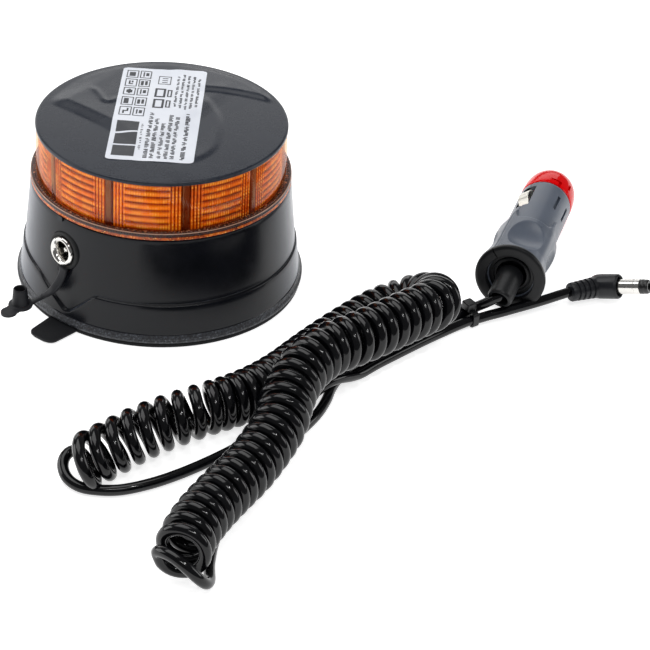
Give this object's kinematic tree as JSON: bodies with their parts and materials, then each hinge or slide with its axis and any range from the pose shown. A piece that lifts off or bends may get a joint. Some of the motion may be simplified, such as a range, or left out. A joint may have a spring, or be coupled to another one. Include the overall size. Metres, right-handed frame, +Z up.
{
  "type": "rechargeable warning beacon",
  "caption": "Round magnetic amber LED warning beacon with black housing, rubber base, sealed charging socket and a coiled vehicle charging lead.",
  "frame": {"origin": "centre of the underside of the beacon's rubber mat, on the resting plane", "axes": "+Z up through the cap, +X towards the vehicle plug on the lead, -Y towards the coiled cord"},
  "size_m": [0.2318, 0.2498, 0.0631],
  "materials": {
    "mat_rubber": "matt moulded rubber",
    "black_plastic": "satin moulded plastic",
    "cap_plastic": "satin moulded plastic",
    "screw_steel": "zinc plated",
    "magnet_ferrite": "ground ferrite",
    "switch_body": "matt",
    "board_green": "solder mask",
    "seal_rubber": "matt",
    "amber_lens": "polished amber acrylic",
    "label_white": "satin film label",
    "heat_sink_aluminium": "cast",
    "led_board": "white solder mask with LED packages",
    "clear_optic": "moulded clear",
    "cell_wrap": "shrink sleeve",
    "wire_red": "insulation",
    "wire_black": "insulation",
    "bright_metal": "nickel plated",
    "strap_rubber": "soft rubber",
    "plug_grey": "fine textured grip",
    "plug_black": "satin",
    "pin_brass": "turned",
    "fuse_glass": "glass fuse",
    "adapter_red": "high gloss",
    "cord_black": "glossy polyurethane",
    "tie_black": "satin"
  },
  "bodies": {
    "beacon": {"base_mat": "mat_rubber", "base_plate": "black_plastic", "base_screw_1": "screw_steel", "base_screw_2": "screw_steel", "base_screw_3": "screw_steel", "base_screw_4": "screw_steel", "magnet": "magnet_ferrite", "magnet_back_plate": "screw_steel", "tact_switch": "switch_body", "switch_board": "board_green", "base_housing": "black_plastic", "lens_gasket": "seal_rubber", "lens_ring": "amber_lens", "top_cap": "cap_plastic", "rating_label": "label_white", "led_heat_sink": "heat_sink_aluminium", "led_strip": "led_board", "segment_optics": "clear_optic", "driver_board": "board_green", "battery_cell_1": "cell_wrap", "battery_cell_2": "cell_wrap", "battery_tray": "black_plastic", "battery_wires": "wire_red", "switch_wires": "wire_black", "socket_gasket": "seal_rubber", "socket_shell": "bright_metal", "socket_insulator": "black_plastic", "socket_pin": "bright_metal", "socket_nut": "bright_metal", "socket_wires": "wire_red"},
    "pull_tab": {"pull_tab": "mat_rubber"},
    "mode_button": {"mode_button": "mat_rubber"},
    "plug_strap": {"plug_strap": "strap_rubber"},
    "dust_plug": {"dust_plug": "strap_rubber"},
    "lead": {"plug_end_collar": "plug_black", "plug_shell_upper": "plug_grey", "plug_shell_lower": "plug_grey", "plug_nose_tube": "bright_metal", "contact_carrier": "black_plastic", "cord_boot": "plug_black", "barrel_plug_body": "plug_black", "barrel_sleeve": "bright_metal", "barrel_tip": "plug_black", "coiled_cord": "cord_black", "cord_tail_barrel": "cord_black", "cord_tail_plug": "cord_black", "cord_tie": "tie_black"},
    "centre_pin": {"centre_pin": "pin_brass", "fuse": "fuse_glass", "pin_spring": "screw_steel"},
    "side_contact_left": {"side_contact_left": "bright_metal"},
    "side_contact_right": {"side_contact_right": "bright_metal"},
    "red_adapter": {"red_adapter": "adapter_red"}
  },
  "joints": [
    {"name": "lead_slide", "type": "slide", "parent": "beacon", "child": "lead", "axis": [1, 0, 0], "range_m": [0, 0.15]},
    {"name": "mode_button_press", "type": "slide", "parent": "beacon", "child": "mode_button", "axis": [0, 0, 1], "range_m": [0, 0.001], "stiffness_N_per_m": 900},
    {"name": "pull_tab_lift", "type": "hinge", "parent": "beacon", "child": "pull_tab", "pos_m": [-0.03154, -0.04247, 0.0009], "axis": [-0.8028, 0.5962, 0], "range_deg": [0, 70]},
    {"name": "plug_strap_swing", "type": "hinge", "parent": "beacon", "child": "plug_strap", "pos_m": [-0.0305, -0.0393, 0.022], "axis": [-0.7923, 0.6101, 0], "range_deg": [0, 60]},
    {"name": "dust_plug_tilt", "type": "hinge", "parent": "plug_strap", "child": "dust_plug", "pos_m": [-0.0419, -0.0392, 0.0082], "axis": [-0.7923, 0.6101, 0], "range_deg": [-20, 45]},
    {"name": "centre_pin_press", "type": "slide", "parent": "lead", "child": "centre_pin", "axis": [-0.2558, -0.9659, 0.0392], "range_m": [0, 0.003], "stiffness_N_per_m": 600},
    {"name": "side_contact_left_press", "type": "hinge", "parent": "lead", "child": "side_contact_left", "pos_m": [0.13268, 0.02639, 0.01785], "axis": [-0.7976, 0.188, -0.5731], "range_deg": [0, 8], "stiffness_Nm_per_rad": 0.08},
    {"name": "side_contact_right_press", "type": "hinge", "parent": "lead", "child": "side_contact_right", "pos_m": [0.14098, 0.02369, 0.00541], "axis": [0.7976, -0.188, 0.5731], "range_deg": [0, 8], "stiffness_Nm_per_rad": 0.08},
    {"name": "red_adapter_pull", "type": "slide", "parent": "lead", "child": "red_adapter", "axis": [0.2558, 0.9659, -0.0392], "range_m": [0, 0.022]}
  ]
}
